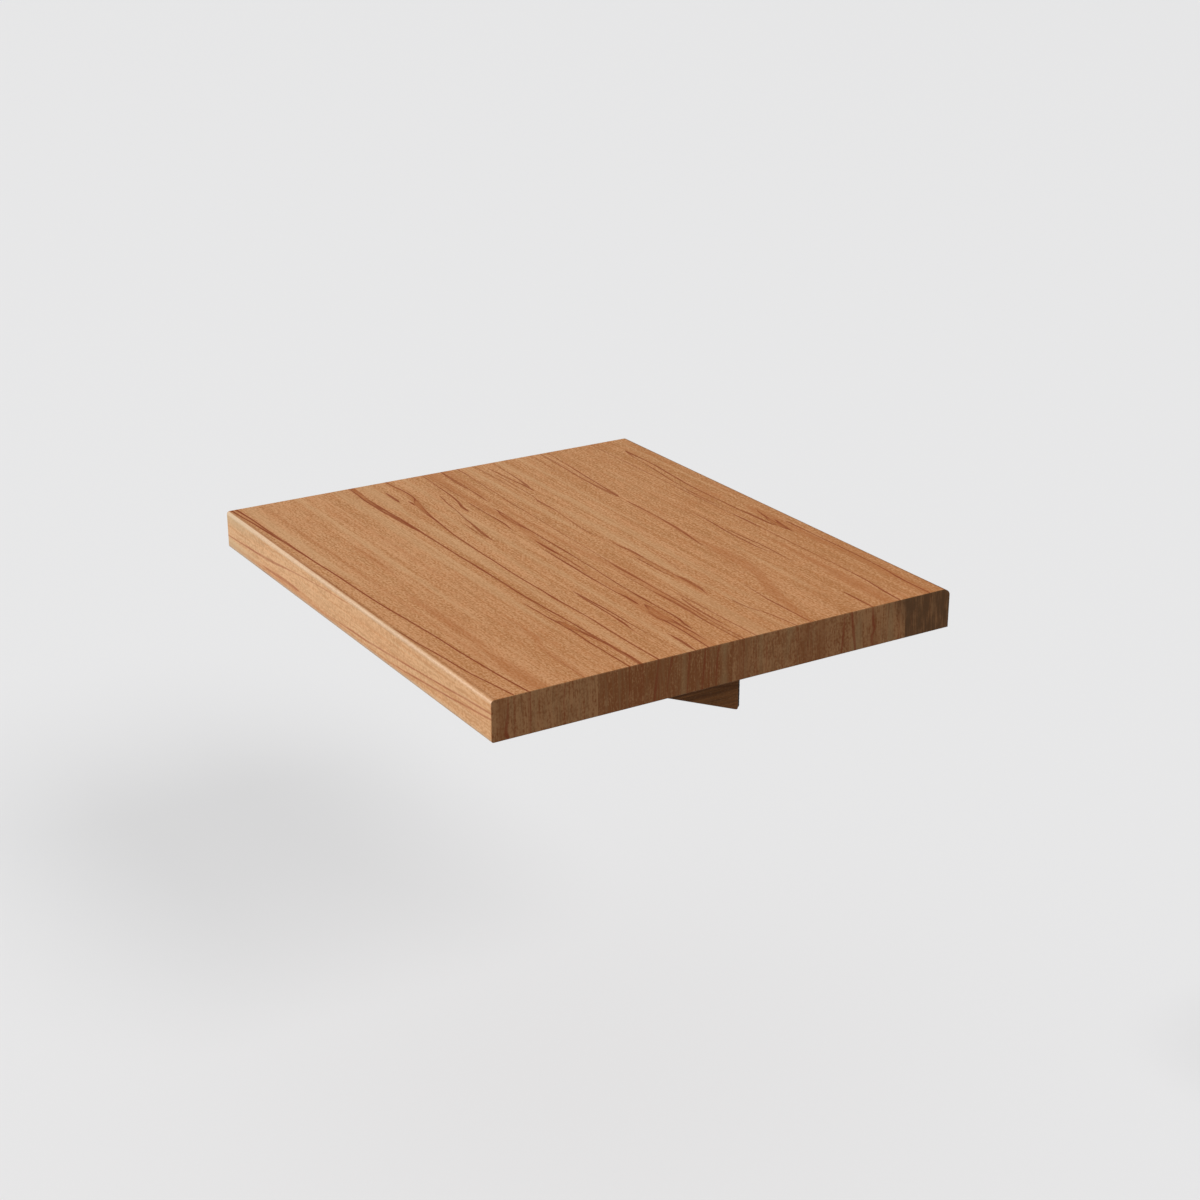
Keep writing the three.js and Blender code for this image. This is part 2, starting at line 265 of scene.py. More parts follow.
# Growth lines of the board by stave, counted from its outer edge: each is a run of (x, y, half width) in
# mm. Lines below zero in width fade, and are gone at GONE.
GONE = -0.8
FAINT = -0.2
VEINS = {
    5: [
        [(-172, 0.8, GONE), (-166, 0.8, 0.7), (-145, 0.8, 0.3), (-118, -0.3, 0.4), (-90, -2.6, 0.45),
         (-63, -4.2, 0.3), (-35, -4.6, 0.3), (-8, -4.4, 0.3), (10, -3.5, 0.9), (27, -3.4, 0.5),
         (37, -1.2, 0.3), (56, 1, GONE)],
        [(-170, 0.3, GONE), (-163, -0.6, 0.2), (-145, -3.1, 0), (-118, -5.4, 0.2), (-99, -7.6, 0.2),
         (-72, -10.4, 0.1), (-54, -11.8, 0.2), (-35, -12, 0.1), (-17, -11, 0), (5, -11, GONE)],
        [(0, 7.5, GONE), (6, 5, 0.2), (19, 2.8, 0.7), (30, 0.5, 1.6), (42, 0.2, 1.2), (52, 0.6, GONE)],
        [(20, 6.5, GONE), (28, 4.6, 0.2), (38, 2.2, 0.9), (48, 0.8, 0.5), (58, 0.4, GONE)],
        [(30, 9.8, GONE), (40, 9.7, 0.4), (64, 9.7, 0.2), (92, 9.7, 0.3), (120, 9.5, 0.2), (139, 8.8, 0.2),
         (152, 7.9, 0.2), (165, 6.4, 0.5), (180, 5.6, 0.4), (200, 5.6, 0.3)],
        [(160, 21.2, GONE), (172, 20.5, 0.1), (184, 19.8, 0.5), (200, 18.6, 0.2)],
        [(-4, -14, FAINT), (18, -13.6, 0.5), (40, -13.8, 0), (64, -14, 0), (110, -14.3, 0.1),
         (140, -14.6, 0.2), (160, -15.8, 0.2)],
    ],
    4: [
        [(130, -14.5, 0.1), (152, -15, 0.3), (170, -16.8, 0.4), (183, -18.2, 0.5), (200, -19.5, 0.4)],
        [(-30, -36.5, GONE), (0, -37.4, 0.2), (20, -38.8, 0.4), (38, -40.1, 0.3), (55, -40.1, 0.4),
         (71, -39.2, 0.2), (82, -36.8, -0.1), (92, -35.6, GONE)],
        [(18, -36.9, GONE), (30, -36.9, 0.2), (55, -36, 0.3), (73, -35.1, 0.2), (92, -35.6, 0.1),
         (115, -36.7, GONE)],
        [(165, -42, GONE), (178, -42, 0.5), (194, -42.4, 0.4), (200, -42.4, 0.2)],
        [(-200, -54.8, 0), (-176, -56.6, 0.1), (-145, -58.9, 0.3), (-118, -60.7, 0.3), (-105, -61.4, FAINT)],
    ],
    3: [
        [(-120, -60.7, 0.2), (-98, -61.9, 0.5), (-84, -63.2, 0.8), (-76, -64, GONE)],
        [(-200, -61.6, 0), (-176, -62.5, 0.2), (-145, -64.4, 0.4), (-118, -65.3, 0.5), (-95, -64.8, 0.9),
         (-80, -64.4, 0.5), (-72, -64.4, GONE)],
        [(-67, -64.4, GONE), (-60, -64.4, 0.4), (-48, -64.4, 0.6), (-30, -64.4, 0.2), (-8, -65.5, 0.7),
         (4, -66.4, 0.9), (18, -67.6, 0.7), (36, -69.9, 0.4), (50, -71.4, GONE)],
        [(-200, -69, FAINT), (-176, -70.8, 0), (-149, -72.6, FAINT), (-120, -73.8, GONE)],
        [(65, -77, GONE), (80, -78, FAINT), (104, -79.8, FAINT), (118, -82, GONE)],
        [(115, -89.5, GONE), (128, -90.5, 0), (146, -91.8, 0.2), (165, -92.7, 0.5), (183, -92.5, 0.3),
         (200, -92.3, 0.1)],
        [(15, -105, GONE), (35, -106.6, FAINT), (64, -109.7, -0.1), (79, -112.4, FAINT), (95, -114.5, GONE)],
        [(138, -113.6, GONE), (148, -113.2, 0.4), (163, -110.1, 0.2), (174, -106.9, 0.2), (200, -103.7, 0.2)],
        [(-200, -104.2, 0), (-176, -106, 0.1), (-154, -107.4, 0.3), (-138, -109.2, 0.8), (-128, -110.8, 0.5),
         (-118, -111.4, GONE)],
        [(-192, -114.6, GONE), (-180, -114, 0.3), (-163, -112.9, 0.3), (-145, -112, 0.5), (-132, -111, 0.6),
         (-120, -111, GONE)],
        [(-178, -116.3, GONE), (-168, -116.6, 0), (-140, -117, 0.1), (-108, -118.6, 0), (-97, -120.4, 0.7),
         (-81, -120.4, 0.4), (-63, -121.6, 0), (-44, -123.4, 0.1), (-26, -124.6, 0.2), (-8, -123.4, FAINT),
         (15, -122.5, GONE)],
        [(-200, -122, FAINT), (-176, -121.1, 0.1), (-145, -121.6, 0), (-112, -121.6, GONE)],
        [(-20, -120.4, GONE), (12, -121.1, 0.2), (27, -119.5, 0.8), (55, -119.7, 0.1), (82, -119.7, 0.2),
         (95, -118.9, 0.9), (106, -118.9, 0.9), (118, -120.2, 0.2), (135, -121.8, GONE)],
        [(35, -123.8, GONE), (46, -123.8, 0.3), (60, -123.8, 0.3), (82, -122.5, 0), (95, -121.5, GONE)],
        [(-200, -135.7, 0.5), (-183, -136.2, 0.2), (-154, -137.6, 0.1), (-127, -138.5, 0),
         (-108, -139.9, 0.2), (-54, -141.2, 0), (-26, -142.1, 0.1), (0, -143, 0), (37, -144, 0.2),
         (55, -144.9, 0.9), (92, -144.9, 0.2), (128, -144.6, 0.3), (165, -145.8, 0.1), (200, -145.3, 0.2)],
        [(105, -137.4, GONE), (119, -137.1, 0.1), (155, -136.7, 0.2), (200, -135.3, 0.2)],
        [(118, -140.2, GONE), (128, -140.8, 0.4), (155, -142.4, 0.6), (172, -142.2, 0.1), (185, -142, GONE)],
        [(55, -149.5, GONE), (66, -149.5, 0.1), (92, -149.5, 0), (120, -148.3, 0.7), (132, -148.1, 0.8),
         (165, -149, 0.3), (200, -148.1, 0.2)],
        [(-200, -150, 0.2), (-182, -150.8, 0.9), (-160, -151.4, 1.1), (-150, -151.6, 0.2),
         (-140, -151.8, 0.5), (-124, -152.7, 0.2), (-112, -153.5, GONE)],
    ],
    2: [
        [(-108, -155.8, GONE), (-95, -157.2, 0.3), (-78, -159, 1.6), (-68, -159.6, 1.4), (-54, -158.9, 0.6),
         (-41, -158.4, 0.2), (0, -158.8, 0.4), (27, -159.7, 0.2), (53, -160.6, 0.2), (71, -161.5, 0.2),
         (88, -161.8, 0.3), (103, -161.8, 0.6), (124, -161.5, 0.2), (142, -161.5, 0.4), (160, -163.5, 0.5),
         (172, -164.4, GONE)],
        [(-200, -164.2, FAINT), (-150, -164.6, 0), (-120, -166, GONE)],
        [(-200, -166.4, 0), (-173, -168.1, 0.1), (-157, -169, 0.3), (-138, -171, 0.5), (-126, -173.3, 0.7),
         (-115, -175.7, 0.8), (-104, -176.4, GONE)],
        [(-128, -166.8, GONE), (-118, -166.8, 0.2), (-94, -166.8, 0.2), (-76, -166.8, 0.4),
         (-60, -168.1, 0.2), (-50, -169, GONE)],
        [(-30, -166, GONE), (-18, -166, 0.5), (-5, -166, 0.8), (10, -165.8, 0.1), (32, -166.8, 0.1),
         (50, -167, GONE)],
        [(-12, -169.5, GONE), (0, -169.9, 0.2), (44, -170.8, 0.5), (71, -171.2, 0.3), (88, -171, 0.2),
         (105, -169.8, 0.7), (118, -170, GONE)],
        [(115, -166.5, GONE), (125, -167.3, 1.6), (138, -168.6, 2.6), (150, -167.4, 1.5), (162, -166.8, 0.5),
         (178, -166.8, 0.3), (196, -166.8, GONE)],
        [(128, -171.4, GONE), (140, -171.6, 0.8), (154, -170.6, 0.4), (177, -171.2, 0.3), (200, -171.7, 0.3)],
        [(162, -181, GONE), (174, -181, 0.4), (185, -181, 0.9), (193, -181.2, 0.6), (200, -181.4, 0.1)],
        [(-152, -177, GONE), (-143, -178.3, 0.2), (-129, -181, 0.2), (-112, -182.9, 0.1), (-94, -185.8, 0.2),
         (-76, -188, 0.6), (-62, -190, 0.9), (-50, -190.9, 0.5), (-34, -192, GONE)],
        [(-100, -190, GONE), (-86, -191.4, FAINT), (-66, -192.9, 0.1), (-50, -193.6, FAINT),
         (-38, -194, GONE)],
        [(-200, -197.3, 0.2), (-186, -196.5, 0.3), (-172, -195.3, 0.3), (-159, -195.6, 0.3),
         (-149, -197.8, 1), (-140, -200.3, 2), (-129, -202.4, 1.5), (-112, -204.5, 0.8), (-94, -206.6, 0.5),
         (-76, -208.4, 0.4), (-58, -209.5, 0.35), (-41, -210, 0.3), (0, -211.1, 0.35), (35, -211.7, 0.3),
         (62, -211.2, 0.3), (80, -211, 0.6), (97, -210.2, 0.3), (115, -209.5, 0.3), (142, -209.7, 0.35),
         (177, -209.5, 0.3), (200, -208.8, 0.3)],
        [(-152, -203, GONE), (-144, -203.1, 0.5), (-137, -203.2, GONE)],
        [(-190, -208.6, GONE), (-178, -208.9, FAINT), (-159, -209.6, 0.9), (-150, -210, GONE)],
        [(68, -194.6, GONE), (80, -194.1, 0.3), (97, -193.5, 0.4), (124, -192.5, 0.3), (142, -192.7, 0.1),
         (168, -191.4, FAINT), (200, -190.3, -0.4)],
        [(76, -194.8, GONE), (90, -195, 0.3), (106, -195.1, 0.3), (124, -195.3, 0.3), (135, -195.6, 0.7),
         (147, -196.6, 0.2), (160, -197.3, FAINT), (184, -196.9, -0.4), (200, -196.9, -0.4)],
        [(-200, -226, 1.7), (-182, -226.9, 1.6), (-165, -228.3, 1.3), (-150, -228.6, 0.8),
         (-138, -228.4, GONE)],
        [(-200, -224.6, 0.1), (-182, -225.6, 0.1), (-165, -226.8, 0.2), (-147, -227.2, 0.7),
         (-112, -226.6, 0.8), (-94, -226.3, 0.6), (-76, -226.3, 0.5), (-41, -226.5, 0.4), (0, -226, 0.45),
         (35, -226.1, 0.4), (62, -225.8, 0.4), (88, -225, 0.4), (115, -223.9, 0.4), (133, -223.3, 0.4),
         (150, -223.4, 0.9), (160, -222.8, 0.8), (177, -222.1, 0.7), (188, -221.5, 0.8), (200, -221.8, 0.7)],
        [(-200, -227.9, 0.6), (-182, -228.8, 0.5), (-165, -229.9, 0.4), (-147, -230, 0.4),
         (-129, -229.2, 0.8), (-112, -228.5, 0.9), (-94, -227.4, 0.6), (-80, -226.8, FAINT)],
        [(112, -230.4, GONE), (118, -228.8, 1.5), (126, -228.2, 1.9), (134, -226.4, 0.9), (147, -224.9, 0.5),
         (165, -223.3, 0)],
        [(70, -232.6, GONE), (81, -232.5, 0.2), (99, -232.1, 0.3), (113, -231, 0.5), (124, -230.4, 0.5),
         (142, -230.5, 0.3), (154, -231, 0.4), (168, -230.5, 0.3), (200, -230.1, 0.3)],
    ],
    1: [
        [(-200, -319.9, 0.7), (-165, -318.6, 0.4), (-147, -318.3, 0.5), (-129, -318.6, 0.8),
         (-112, -318, 0.8), (-94, -317.3, 0.6), (-67, -316.4, 0.4), (-41, -315.2, 0.4), (0, -314.1, 0.4),
         (35, -312.8, 0.4), (71, -310.6, 0.4), (97, -308.8, 0.4), (124, -307.5, 0.4), (150, -305.8, 0.4),
         (186, -302.9, 0.4), (200, -301.3, 0.4)],
        [(-200, -323.5, 0.6), (-182, -322.6, 0.3), (-165, -321.2, 0.4), (-142, -319.9, 0.6),
         (-124, -319.1, 0.5), (-108, -318.4, GONE)],
        [(60, -326, GONE), (74, -324.8, 0.1), (97, -323.5, 0.3), (115, -321.7, 0.3), (133, -319.9, 0.3),
         (150, -318.6, 0.3), (168, -316.4, 0.35), (186, -313.7, 0.35), (200, -311.5, 0.35)],
        [(-120, -325, FAINT), (-60, -324.8, 0.1), (0, -324.4, 0), (40, -324.6, FAINT), (70, -325.6, GONE)],
        [(130, -261.8, GONE), (150, -262.4, FAINT), (200, -262.2, -0.1)],
    ],
}

# Soft ruddy clouds in the board: runs of (x, y, half width), gone at CLEAR.
CLEAR = -3
CLOUDS = {
    5: [
        [(-10, 4, CLEAR), (10, 5, 3.5), (36, 5, 4), (70, 5, 2.5), (110, 7, 2.5), (150, 7, 2.5), (200, 5, 3)],
        [(-200, -11, 1.5), (-185, -10, 0), (-165, -8, CLEAR)],
    ],
    4: [[(20, -22, CLEAR), (60, -22, 0), (100, -23, 2), (140, -24, 4), (200, -27, 5)]],
    3: [
        [(-135, -63, CLEAR), (-112, -63, 0.5), (-88, -63.5, 0.8), (-72, -64, -1), (-30, -66, 1.5),
         (-5, -66, 1.5), (18, -68, 1.5), (45, -67, 2), (70, -66.5, 5), (100, -68, 4.5), (122, -74, 4.5),
         (145, -82, 4), (168, -87, 2.5), (200, -92, 1.5)],
        [(-200, -146, 2.5), (-160, -147, 2.5), (-110, -150, 0.5), (0, -150, 1.5), (70, -146, 2.5),
         (110, -147, 3), (150, -146, 1), (200, -145, 0)],
        [(-15, -121, CLEAR), (30, -121, 0.5), (80, -121, 0.5), (100, -119.5, 2), (130, -121, CLEAR)],
    ],
    2: [
        [(-200, -159, 4.5), (-130, -162, 2.5), (-74, -160, 3.5), (-20, -165, 2.5), (35, -167, 0.5),
         (100, -168, 2.5), (138, -169, 5.5), (165, -169, 2.5), (200, -168, 2)],
        [(-200, -197, 1), (-165, -196.5, 1.5), (-142, -200, 2.5), (-125, -203, 1.5), (-95, -207, CLEAR)],
        [(-200, -226.4, 0.8), (-165, -228.2, 0.5), (-140, -228.4, 0.8), (-105, -227.6, 0.6),
         (-70, -226.8, -2), (100, -230, CLEAR), (122, -229, 0.8), (150, -225, 0), (200, -222, -1)],
    ],
    1: [
        [(-200, -321.8, 1.4), (-165, -320, 1.2), (-120, -318.8, 0.2), (-60, -316.6, -1.2),
         (0, -314.4, CLEAR)],
        [(-180, -256, CLEAR), (-100, -256, -0.5), (-30, -256, 0.5), (20, -256, -1.5), (50, -256, CLEAR)],
        [(-200, -300, 0), (-100, -300, 0.5), (60, -300, 0), (150, -299, 0.5), (200, -298, 0.5)],
        [(80, -249, CLEAR), (108, -250, 5), (125, -253, 4), (150, -260, 0.5), (200, -262, 0.5)],
        [(90, -296, CLEAR), (120, -294, 0), (150, -293, 3), (175, -293, 5), (200, -292, 5)],
        [(-95, -283, CLEAR), (-45, -280, 2), (0, -285, -1), (40, -291, 2), (95, -291, 2.5),
         (140, -288, CLEAR)],
    ],
}

# Straw-coloured bands between the growth lines, in the same way
PALE_BANDS = {
    5: [[(-200, 9, 0.3), (-110, 9, 0.3), (-50, 10, -1), (0, 12, CLEAR)]],
    4: [[(-170, -40, CLEAR), (-100, -42, 0), (-20, -45, -1), (60, -52, 0), (120, -55, 1), (180, -56, CLEAR)]],
    3: [
        [(-200, -100, 2.5), (-130, -99, 2), (-65, -99, 3), (0, -99, 3), (65, -99, 2.5), (130, -100, 1),
         (165, -98, -1), (200, -97, CLEAR)],
        [(-120, -113, CLEAR), (-65, -114, 1.5), (-30, -114, 3.5), (30, -114, 4), (70, -115, 2),
         (130, -112, 1), (200, -112, 1)],
        [(-200, -129, 1.5), (-130, -129, 2), (-65, -129, 1.5), (0, -129, -1), (65, -129, 1), (100, -129, 3),
         (150, -129, 4.5), (200, -129, 4)],
        [(-200, -82, 1), (-130, -82, 1), (-60, -83, 0.5), (0, -83, -1), (60, -84, CLEAR)],
    ],
    2: [
        [(-200, -183, 1.5), (-130, -184, 1), (-65, -184, 3), (0, -184, 2), (65, -184, 1.5), (200, -185, 1.5)],
        [(-140, -200, CLEAR), (-110, -196, 1), (-40, -198, 1), (20, -200, 1), (60, -201, -1),
         (200, -200, -1)],
        [(-200, -216, 5), (-150, -217, 5), (-125, -217, 1), (-60, -217, 4), (0, -217, 3), (60, -216, 2),
         (130, -216, 1.5), (200, -216, 1.5)],
        [(-200, -238, 4), (0, -238, 4), (65, -238, 3), (110, -238, 1), (150, -237, -1), (200, -236, -1.5)],
    ],
    1: [
        [(-200, -271, 2), (-65, -271, 2), (0, -271, 1.5), (65, -272, 0), (110, -272, CLEAR)],
        [(-200, -311, 3.5), (-130, -311, 4), (-70, -311, 3.5), (-30, -309, 2), (10, -307, -1),
         (50, -306, CLEAR)],
    ],
}

# Growth lines that run out on the board's outer edge: (x, z, half width) in mm.
EDGE_VEINS = [
    [(-200, 9.7, 0.2), (-170, 11, 0.4), (-140, 12.6, 0.6), (-117, 14.4, 0.7), (-92, 17.3, 0.3),
     (-60, 20.2, 0.1), (-25, 22.6, 0.1), (0, 24, 0), (20, 25.2, GONE)],
    [(-40, 4.5, GONE), (-5, 5.4, 0.2), (25, 6.8, 0.4), (50, 8.2, 0.4), (87, 10.6, 0.3), (112, 12.7, 0.2),
     (150, 15.8, 0.35), (200, 19.4, 0.4)],
    [(50, 3.5, GONE), (75, 4.4, 0.1), (100, 6.4, 0.4), (125, 8.6, 0.3), (162, 12, 0.4), (200, 15.6, 0.4)],
    [(-145, 5.5, GONE), (-120, 6, 0.6), (-90, 6.8, 0.9), (-70, 6.2, GONE)],
    [(-145, 0.8, GONE), (-130, 1.4, 0.6), (-112, 1, GONE)],
]

# Ruddy streaks along the foot of that edge: (x, z, half width) in mm
EDGE_CLOUDS = [
    [(-200, 1.5, 1), (-150, 2.5, 2), (-115, 4, 3.2), (-80, 4, 3.2), (-45, 3, 2), (0, 2.5, 0.5), (80, 3, 0),
     (150, 6, CLEAR)],
]

# Growth rings that show only on the end grain: (z, y, half width) in mm.
END_VEINS = {
    1: [
        [(0, -315.8, 0.5), (2, -316.6, 1.2), (6, -317.4, 1), (9, -317, 0.8), (14, -316.4, 0.6),
         (20, -315.8, 0.3), (28, -315.2, 0)],
        [(0, -300.5, 0.1), (14, -300, 0.2), (28, -300.4, 0.1)],
        [(0, -276.5, FAINT), (14, -277, 0.1), (28, -276, 0.1)],
    ],
    2: [
        [(0, -212.4, 0.8), (10, -211.2, 1), (20, -209.9, 0.6), (28, -209.2, 0.4)],
        [(0, -203, FAINT), (12, -201.8, 0.3), (28, -199.2, 0.6)],
        [(0, -187.5, 0.2), (28, -186, 0.4)],
        [(0, -176.6, 0.4), (14, -175.4, 0.8), (28, -174.2, 0.3)],
        [(0, -166, 0.1), (14, -165.4, 0.5), (28, -164, 0.4)],
        [(0, -220, FAINT), (28, -221, 0.2)],
    ],
    3: [
        [(0, -67, 0.2), (14, -66, 0.6), (28, -65, 0.2)],
        [(0, -96, FAINT), (28, -94, 0)],
        [(0, -128, FAINT), (14, -127, 0.1), (28, -127.6, FAINT)],
    ],
    4: [
        [(0, -55.6, 0.5), (12, -57.4, 0.9), (28, -59.8, 0.8)],
        [(0, -41, 0.2), (7, -42.2, 0.7), (12, -40.6, 1), (18, -41.6, 1.1), (28, -42.4, 0.2)],
        [(0, -30, FAINT), (28, -29, 0.1)],
    ],
    5: [
        [(0, -9, 0.1), (14, -9.8, 0.4), (28, -9, 0.1)],
        [(0, 3, FAINT), (14, 2.2, 0.3), (28, 3, 0)],
    ],
}

# Ruddy patches on the end grain: (z, y, half width) in mm
END_CLOUDS = {
    1: [[(0, -320, 2), (28, -320, 2.5)]],
    2: [[(0, -210, 4), (28, -209, 5)]],
    3: [
        [(0, -96, 4.5), (14, -97, 5), (28, -98, 3)],
        [(0, -84, 3.5), (28, -84, 3)],
        [(0, -145, 4.5), (28, -146, 5)],
    ],
    4: [[(0, -40, 4), (14, -40, 1), (28, -41, -1)]],
    5: [[(0, -6, 1), (28, -6, CLEAR)]],
}

# Straw-coloured patches on the end grain, in the same way
END_PALES = {
    1: [
        [(0, -298, -0.5), (28, -296, 0)],
        [(0, -308, -1.5), (28, -307, -0.5)],
        [(0, -266, 0), (28, -265, -0.5)],
    ],
    2: [
        [(0, -160, 3), (14, -160, 1), (28, -160, 2.5)],
        [(0, -190, 2), (28, -190, 0.5)],
    ],
    3: [
        [(0, -131, 0.5), (28, -132, 1)],
        [(0, -112, -1), (28, -109, 2.5)],
    ],
    4: [
        [(0, -55, 4), (14, -54, 2.5), (28, -53, -1)],
        [(0, -26, 2.5), (28, -29, 2)],
    ],
    5: [[(0, 9, -1), (28, 9, 0)]],
}

# How light and how ruddy each stave is, how dark its lines are, and how ruddy its ends
STAVE_TONES = {
    1: (0.60, 0.10, 1.14, 0.22),
    2: (0.50, 0.06, 1.08, 0.85),
    3: (0.50, 0.06, 0.86, 0.42),
    4: (0.44, 0.16, 1.00, 0.20),
    5: (0.34, 0.28, 1.00, 0.35),
}

# Growth lines along the arm's side: (y, z, half width) in mm
ARM_MIDDLE = 150.0
ARM_VEINS = [
    [(-292, -6, 0.2), (-220, -10, 0.5), (-150, -12, 0.2), (-90, -16, 0.7), (-14, -19, 0.3)],
    [(-240, -25, GONE), (-180, -27, 0.4), (-120, -33, 0.8), (-60, -36, 0.3), (-14, -41, 0.6)],
    [(-190, -45, GONE), (-130, -52, 0.5), (-80, -55, 0.9), (-40, -61, 0.4), (-14, -63, 0.6)],
    [(-110, -70, GONE), (-85, -74, 0.6), (-50, -79, 0.4), (-14, -84, 0.7)],
    [(-80, -93, GONE), (-55, -97, 0.5), (-30, -101, 0.8), (-14, -103, 0.4)],
]

# The widest half width that a run's curve can hold, in mm
WIDTH_SPAN = 6.0


def swing(*parts):
    """Noises measured from their middle, each times its weight, added together."""
    return reduce(add, [(noise - 0.5) * weight for noise, weight in parts])


def strongest(values):
    return reduce(or_, values)


def shifted(runs, middle):
    """The same runs, measured lengthwise from their middle."""
    return [[(place - middle, across, half) for place, across, half in points] for points in runs]


def run(finish, along, across, points, reach):
    """How far inside one run a point is, in mm, and the run's half width there."""
    low = min(point[1] for point in points) - 1.0
    high = max(point[1] for point in points) + 1.0
    places = [point[0] / reach / 2 + 0.5 for point in points]
    middles = [(point[1] - low) / (high - low) for point in points]
    widths = [point[2] / WIDTH_SPAN for point in points]
    share = along * (0.5 / reach) + 0.5
    middle = finish.curve(share, list(zip(places, middles))) * (high - low) + low
    half = finish.curve(share, list(zip(places, widths))) * WIDTH_SPAN
    return half - abs(across - middle), half


def veins(finish, along, across, runs, reach=200.0):
    """All the growth lines of one face together, and how wide they are."""
    insides, halves = zip(*(run(finish, along, across, points, reach) for points in runs))
    lines = [(inside - GONE).ramp(0.1, 1.05) for inside in insides]
    wide = strongest([(inside + half).ramp(0.6, 3.0) for inside, half in zip(insides, halves)])
    return strongest(lines), wide


def clouds(finish, along, across, runs, reach=200.0):
    """Soft patches along the given runs."""
    insides = [run(finish, along, across, points, reach)[0] for points in runs]
    return strongest([(inside - CLEAR).ramp(0.0, 5.0) for inside in insides])


class Beech(Finish):
    """Oiled heartwood beech. order names the axes along, across and through the grain."""

    def __init__(self, name, order, seed, specular=0.36):
        super().__init__(name, Specular_IOR_Level=specular, Coat_Roughness=0.49)
        self.seed = seed
        spot = dict(zip("XYZ", self.place()))
        self.along, self.across, self.through = (spot[axis] for axis in order)

        # The grain wanders a little, so every line bends with it.
        straight = (self.along, self.across, self.through)
        self.wander = self.noise(straight, (45, 16, 60), seed, 1.0) - 0.5
        self.bent = self.across + self.wander * 1.5
        self.grain = (self.along, self.bent + self.through * 0.06, self.through)

        # Broad bands, threads and fibres along the grain, and the short flecks of its rays
        self.bands = self.figure((300, 9, 30), 3, 3.0, 0.55)
        self.mottle = self.figure((34, 5, 12), 5, 2.0, 0.6)
        self.fibres = self.figure((14, 0.6, 0.9), 11, 2.0, 0.6)
        self.threads = self.figure((90, 1.5, 3.0), 13, 3.0, 0.6)
        self.flecks = self.figure((2.3, 1.3, 1.4), 19, 1.0)
        self.rough = self.fibres * 0.16 + 0.34
        self.relief = self.fibres * 0.5 + self.flecks * 0.5

    def figure(self, sizes, shift, detail, roughness=0.5):
        """Noise that follows the grain. shift sets it apart from the piece's other noises."""
        return self.noise(self.grain, sizes, self.seed + shift, detail, roughness)

    def lay_long_grain(self, pale, ruddy, more_light=0.0):
        dashes = self.figure((9, 0.8, 1.2), 15, 1.0).ramp(0.58, 0.8)
        cloud = self.figure((60, 13, 30), 17, 2.0).ramp(0.5, 0.76)
        tint = self.figure((16, 5, 9), 53, 3.0, 0.6).ramp(0.35, 0.72)
        light = swing((self.bands, 0.85), (self.fibres, 1.8), (self.threads, 1.65), (self.mottle, 0.3),
                      (self.flecks, 3.1))
        light = light - dashes * 0.6 + pale + more_light
        self.colour = self.mix(TAN, PALE, light.clamped())
        self.stain(RUDDY, cloud * (0.09 + ruddy))
        self.stain(ROSE, tint * 0.17)

    def stain(self, tone, share):
        self.colour = self.mix(self.colour, tone, share)

    def finished(self):
        self.drive("Base Color", self.colour)
        self.drive("Roughness", self.rough)
        self.bump(self.relief, 0.00012)
        return self.material


class OuterEdge:
    """The board's outer edge: threads, growth lines, ruddy stretches and pale ones, partly painted sheen."""

    def __init__(self, wood):
        self.wood = wood
        self.share = 1 - (wood.across - OUTER_FACE).ramp(0.8, 2.6)
        place = (wood.along, wood.through, wood.across)
        self.threads = wood.noise(place, (110, 2.4, 30), wood.seed + 47, 3.0, 0.65)
        self.light = (self.threads - 0.5) * 2.0 * self.share
        self.height = wood.through + wood.wander * 1.2

    def add_stretches(self, above, streaks):
        wood = self.wood
        fair = (1 - wood.along.ramp(-195, -120)) * (1 - above.ramp(4, 12))
        # Pale stretches along the threads, partly painted sheen on this brightly lit face.
        wood.stain(EDGE_PALE_AND_SHEEN, self.share * (self.threads * 0.7 + fair * 0.45))
        foot = clouds(wood, wood.along, self.height, EDGE_CLOUDS)
        wood.stain(RUDDY, foot * self.share * (streaks * 0.3 + 0.25))

    def take_over(self, line, wide):
        """The growth lines of the long grain, with the edge's own in their place on the edge."""
        edge_line, edge_wide = veins(self.wood, self.wood.along, self.height, EDGE_VEINS)
        line = line * (1 - self.share) + edge_line * self.share * 0.6
        wide = wide * (1 - self.share) + edge_wide * self.share
        return line, wide


